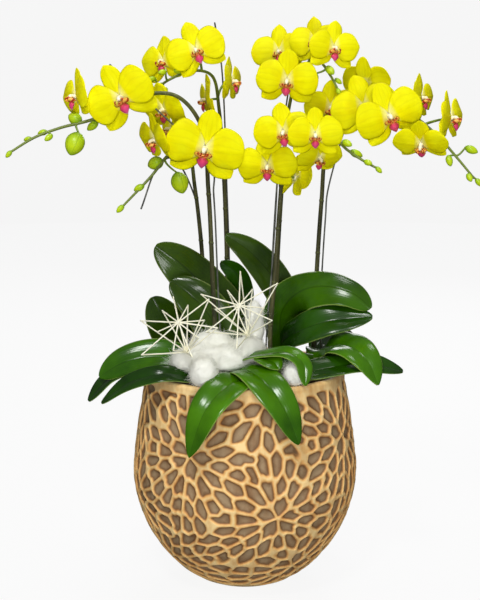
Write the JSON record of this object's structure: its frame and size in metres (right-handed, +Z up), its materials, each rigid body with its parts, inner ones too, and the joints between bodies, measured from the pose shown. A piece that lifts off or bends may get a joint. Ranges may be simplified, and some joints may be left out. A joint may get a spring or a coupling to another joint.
{
  "type": "potted orchid",
  "caption": "Moth orchids with yellow blooms on arching stems, broad leaves and white fibre in a round-bellied pot with a carved net of petal-shaped hollows.",
  "frame": {"origin": "middle of the pot's base, on the surface it stands on", "axes": "+Z up along the pot's axis, -Y towards the front, +X to the right as seen from the front"},
  "size_m": [0.5308, 0.2869, 0.6676],
  "materials": {
    "glaze": "satin golden glaze with dark hollows",
    "bark": "rough bark chips",
    "fibre": "loose white fibre",
    "stick": "matt painted thin sticks",
    "stem": "waxy green-brown stems and green buds",
    "wire": "dark coated wire",
    "leaf": "glossy waxy leaf",
    "petal": "soft satin petals"
  },
  "bodies": {
    "root": {"pot": "glaze", "growing_medium": "bark", "white_fibre_mound": "fibre", "white_fibre_wad": "fibre", "stick_star_left": "stick", "stick_star_right": "stick", "plant_1": "stem", "plant_2": "stem", "plant_3": "stem", "plant_4": "stem", "plant_5": "stem", "plant_6": "stem", "stake_1": "wire", "stake_2": "wire", "stake_3": "wire", "stake_4": "wire", "stake_5": "wire", "stake_6": "wire", "leaf_back_left_high": "leaf", "leaf_back_left_low": "leaf", "leaf_left_blunt": "leaf", "leaf_left_wide": "leaf", "leaf_back_tall": "leaf", "leaf_back_curled": "leaf", "leaf_right_top": "leaf", "leaf_right_second": "leaf", "leaf_right_drooping": "leaf", "leaf_right_hidden": "leaf", "leaf_right_broad": "leaf", "leaf_right_far": "leaf", "leaf_front_left": "leaf", "leaf_front_right": "leaf", "leaf_left_pair": "leaf", "leaf_front_pair": "leaf", "bloom_left_1": "petal", "bloom_left_2": "petal", "bloom_left_3": "petal", "bloom_left_4": "petal", "bloom_left_5": "petal", "bloom_left_6": "petal", "bloom_left_7": "petal", "bloom_left_8": "petal", "bloom_left_9": "petal", "bloom_left_10": "petal", "bloom_right_1": "petal", "bloom_right_2": "petal", "bloom_right_3": "petal", "bloom_right_4": "petal", "bloom_right_5": "petal", "bloom_right_6": "petal", "bloom_right_7": "petal", "bloom_right_8": "petal", "bloom_right_9": "petal", "bloom_right_10": "petal", "bloom_right_11": "petal", "bloom_right_12": "petal", "bloom_right_13": "petal", "bloom_right_14": "petal", "bloom_right_15": "petal", "bloom_right_16": "petal"}
  },
  "joints": []
}
